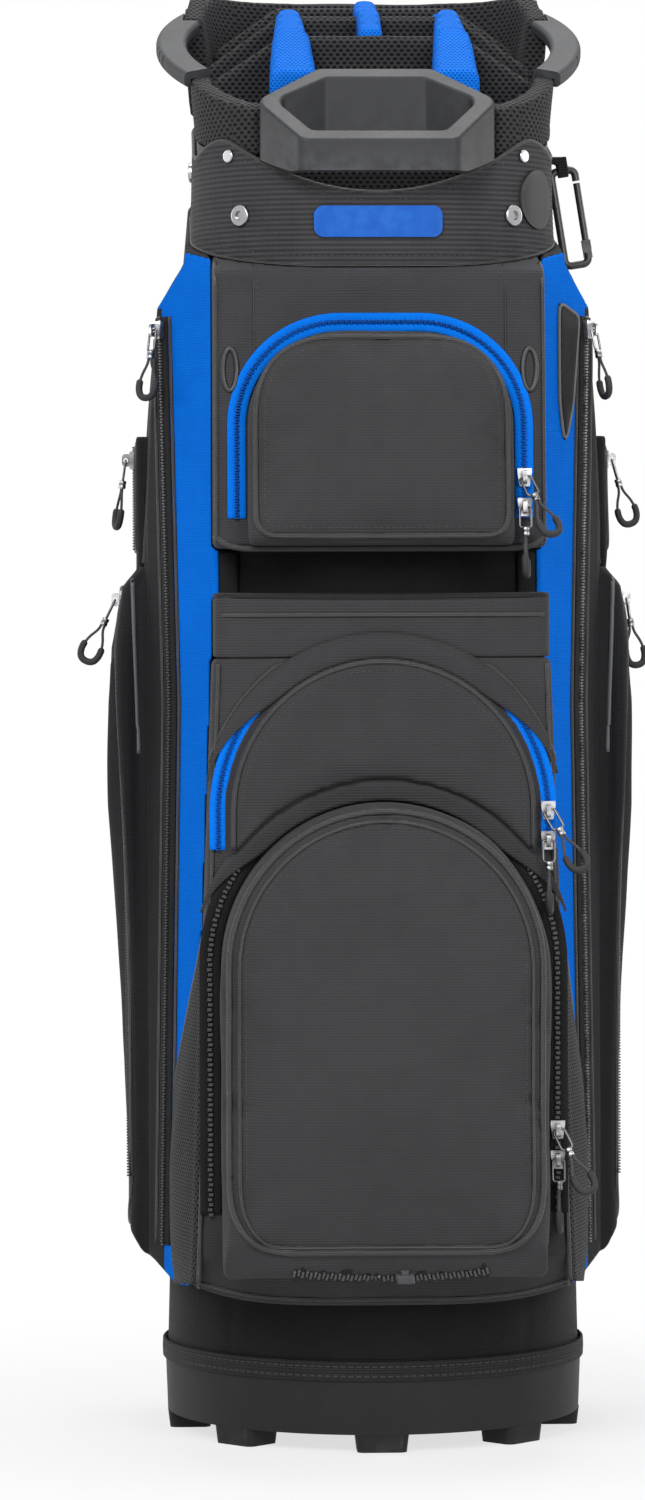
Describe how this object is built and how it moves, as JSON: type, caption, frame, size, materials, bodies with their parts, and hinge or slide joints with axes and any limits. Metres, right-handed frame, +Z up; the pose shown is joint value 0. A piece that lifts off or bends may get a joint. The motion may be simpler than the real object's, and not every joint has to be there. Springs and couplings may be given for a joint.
{
  "type": "golf cart bag",
  "caption": "Free-standing golf cart bag: tapered cloth tube on a moulded boot, divided padded top with grab handles, zipped front and side pockets, rear strap and accessory hook.",
  "frame": {"origin": "on the floor, under the axis of the bag's tube", "axes": "+Z up, -Y to the front pockets, +X to the right of someone facing them"},
  "size_m": [0.3589, 0.3673, 0.9074],
  "materials": {
    "black_cloth": "woven",
    "blue_cloth": "woven",
    "black_mesh": "spacer mesh",
    "blue_mesh": "spacer mesh",
    "grey_moulding": "satin",
    "black_moulding": "satin",
    "zip_black": "woven",
    "zip_metal": "satin",
    "pull_cord": "braided",
    "rod": "drawn",
    "webbing": "webbing",
    "rubber_patch": "matte"
  },
  "bodies": {
    "bag": {"badge_patches": "rubber_patch", "base_binding": "webbing", "base_boot": "black_moulding", "blue_panel_left": "blue_cloth", "blue_panel_right": "blue_cloth", "blue_zips": "blue_cloth", "cooler_pocket": "black_cloth", "cooler_zip": "zip_black", "cuff": "black_cloth", "cuff_studs": "zip_metal", "divider_bars": "black_mesh", "divider_sheets": "black_cloth", "divider_spines": "blue_mesh", "front_handle": "grey_moulding", "front_panel": "black_cloth", "front_yoke": "black_cloth", "hook_strap": "webbing", "mesh_pockets": "black_mesh", "middle_pocket": "black_cloth", "rear_panel": "black_cloth", "rim_pads": "black_mesh", "side_grip_left": "grey_moulding", "side_grip_right": "grey_moulding", "side_pocket_left": "black_cloth", "side_pocket_right": "black_cloth", "side_walls": "black_cloth", "side_zips": "zip_black", "slip_pocket": "black_cloth", "stay_rods": "rod", "strap_pad": "black_cloth", "strap_rings": "zip_metal", "strap_webbing": "webbing", "top_collar": "black_moulding", "upper_pocket": "black_cloth"},
    "slider_upper_a": {"slider_upper_a": "zip_metal"},
    "pull_upper_a": {"pull_upper_a": "pull_cord"},
    "slider_upper_b": {"slider_upper_b": "zip_metal"},
    "pull_upper_b": {"pull_upper_b": "pull_cord"},
    "slider_middle_a": {"slider_middle_a": "zip_metal"},
    "pull_middle_a": {"pull_middle_a": "pull_cord"},
    "slider_middle_b": {"slider_middle_b": "zip_metal"},
    "pull_middle_b": {"pull_middle_b": "pull_cord"},
    "slider_cooler_a": {"slider_cooler_a": "zip_metal"},
    "pull_cooler_a": {"pull_cooler_a": "pull_cord"},
    "slider_cooler_b": {"slider_cooler_b": "zip_metal"},
    "pull_cooler_b": {"pull_cooler_b": "pull_cord"},
    "slider_left_long": {"slider_left_long": "zip_metal"},
    "pull_left_long": {"pull_left_long": "pull_cord"},
    "slider_left_small": {"slider_left_small": "zip_metal"},
    "pull_left_small": {"pull_left_small": "pull_cord"},
    "slider_left_pouch": {"slider_left_pouch": "zip_metal"},
    "pull_left_pouch": {"pull_left_pouch": "pull_cord"},
    "slider_right_long": {"slider_right_long": "zip_metal"},
    "pull_right_long": {"pull_right_long": "pull_cord"},
    "slider_right_small": {"slider_right_small": "zip_metal"},
    "pull_right_small": {"pull_right_small": "pull_cord"},
    "slider_right_pouch": {"slider_right_pouch": "zip_metal"},
    "pull_right_pouch": {"pull_right_pouch": "pull_cord"},
    "hook": {"hook_body": "grey_moulding"},
    "hook_gate": {"hook_gate": "black_moulding"}
  },
  "joints": [
    {"name": "zip_upper_a", "type": "slide", "parent": "bag", "child": "slider_upper_a", "axis": [0, 0.0741, 0.9973], "range_m": [0, 0.026]},
    {"name": "pull_upper_a", "type": "hinge", "parent": "slider_upper_a", "child": "pull_upper_a", "pos_m": [0.0868, -0.14967, 0.59239], "axis": [-1, 0, 0], "range_deg": [0, 110]},
    {"name": "zip_upper_b", "type": "slide", "parent": "bag", "child": "slider_upper_b", "axis": [0, 0.0741, 0.9973], "range_m": [0, 0.005]},
    {"name": "pull_upper_b", "type": "hinge", "parent": "slider_upper_b", "child": "pull_upper_b", "pos_m": [0.0868, -0.151, 0.57444], "axis": [-1, 0, 0], "range_deg": [0, 40]},
    {"name": "zip_middle_a", "type": "hinge", "parent": "bag", "child": "slider_middle_a", "pos_m": [0, -0.164, 0.392], "axis": [0, -1, 0], "range_deg": [0, 172]},
    {"name": "pull_middle_a", "type": "hinge", "parent": "slider_middle_a", "child": "pull_middle_a", "pos_m": [0.099, -0.1708, 0.392], "axis": [-1, 0, 0], "range_deg": [0, 110]},
    {"name": "zip_middle_b", "type": "slide", "parent": "bag", "child": "slider_middle_b", "axis": [0, 0, 1], "range_m": [0, 0.005]},
    {"name": "pull_middle_b", "type": "hinge", "parent": "slider_middle_b", "child": "pull_middle_b", "pos_m": [0.099, -0.1708, 0.374], "axis": [-1, 0, 0], "range_deg": [0, 40]},
    {"name": "zip_cooler_a", "type": "slide", "parent": "bag", "child": "slider_cooler_a", "axis": [0, 0, 1], "range_m": [0, 0.094]},
    {"name": "pull_cooler_a", "type": "hinge", "parent": "slider_cooler_a", "child": "pull_cooler_a", "pos_m": [0.1043, -0.1708, 0.2], "axis": [-1, 0, 0], "range_deg": [0, 110]},
    {"name": "zip_cooler_b", "type": "slide", "parent": "bag", "child": "slider_cooler_b", "axis": [0, 0, 1], "range_m": [-0.024, 0.005]},
    {"name": "pull_cooler_b", "type": "hinge", "parent": "slider_cooler_b", "child": "pull_cooler_b", "pos_m": [0.1043, -0.1708, 0.182], "axis": [-1, 0, 0], "range_deg": [0, 40]},
    {"name": "zip_left_long", "type": "slide", "parent": "bag", "child": "slider_left_long", "axis": [0.021, -0.0312, -0.9993], "range_m": [0, 0.22]},
    {"name": "pull_left_long", "type": "hinge", "parent": "slider_left_long", "child": "pull_left_long", "pos_m": [-0.13644, -0.05898, 0.686], "axis": [-0.5574, 0.8294, -0.0376], "range_deg": [0, 110]},
    {"name": "zip_left_small", "type": "slide", "parent": "bag", "child": "slider_left_small", "axis": [0, 0, -1], "range_m": [0, 0.046]},
    {"name": "pull_left_small", "type": "hinge", "parent": "slider_left_small", "child": "pull_left_small", "pos_m": [-0.1538, 0.014, 0.608], "axis": [0, 1, 0], "range_deg": [0, 110]},
    {"name": "zip_left_pouch", "type": "slide", "parent": "bag", "child": "slider_left_pouch", "axis": [0.0048, -0.0434, -0.999], "range_m": [0, 0.34]},
    {"name": "pull_left_pouch", "type": "hinge", "parent": "slider_left_pouch", "child": "pull_left_pouch", "pos_m": [-0.1607, -0.01035, 0.51997], "axis": [0.0002, 0.9991, -0.0434], "range_deg": [0, 110]},
    {"name": "zip_right_long", "type": "slide", "parent": "bag", "child": "slider_right_long", "axis": [-0.021, -0.0312, -0.9993], "range_m": [0, 0.22]},
    {"name": "pull_right_long", "type": "hinge", "parent": "slider_right_long", "child": "pull_right_long", "pos_m": [0.13644, -0.05898, 0.686], "axis": [-0.5574, -0.8294, 0.0376], "range_deg": [0, 110]},
    {"name": "zip_right_small", "type": "slide", "parent": "bag", "child": "slider_right_small", "axis": [0, 0, -1], "range_m": [0, 0.046]},
    {"name": "pull_right_small", "type": "hinge", "parent": "slider_right_small", "child": "pull_right_small", "pos_m": [0.1538, 0.014, 0.608], "axis": [0, -1, 0], "range_deg": [0, 110]},
    {"name": "zip_right_pouch", "type": "slide", "parent": "bag", "child": "slider_right_pouch", "axis": [-0.0048, -0.0434, -0.999], "range_m": [0, 0.34]},
    {"name": "pull_right_pouch", "type": "hinge", "parent": "slider_right_pouch", "child": "pull_right_pouch", "pos_m": [0.1607, -0.01035, 0.51997], "axis": [0.0002, -0.9991, 0.0434], "range_deg": [0, 110]},
    {"name": "hook_swing", "type": "hinge", "parent": "bag", "child": "hook", "pos_m": [0.12269, 0.012, 0.79], "axis": [0.9877, 0, 0.1564], "range_deg": [-50, 50]},
    {"name": "hook_gate", "type": "hinge", "parent": "hook", "child": "hook_gate", "pos_m": [0.13807, 0.012, 0.7408], "axis": [0, -1, 0], "range_deg": [0, 12], "stiffness_Nm_per_rad": 0.02}
  ]
}
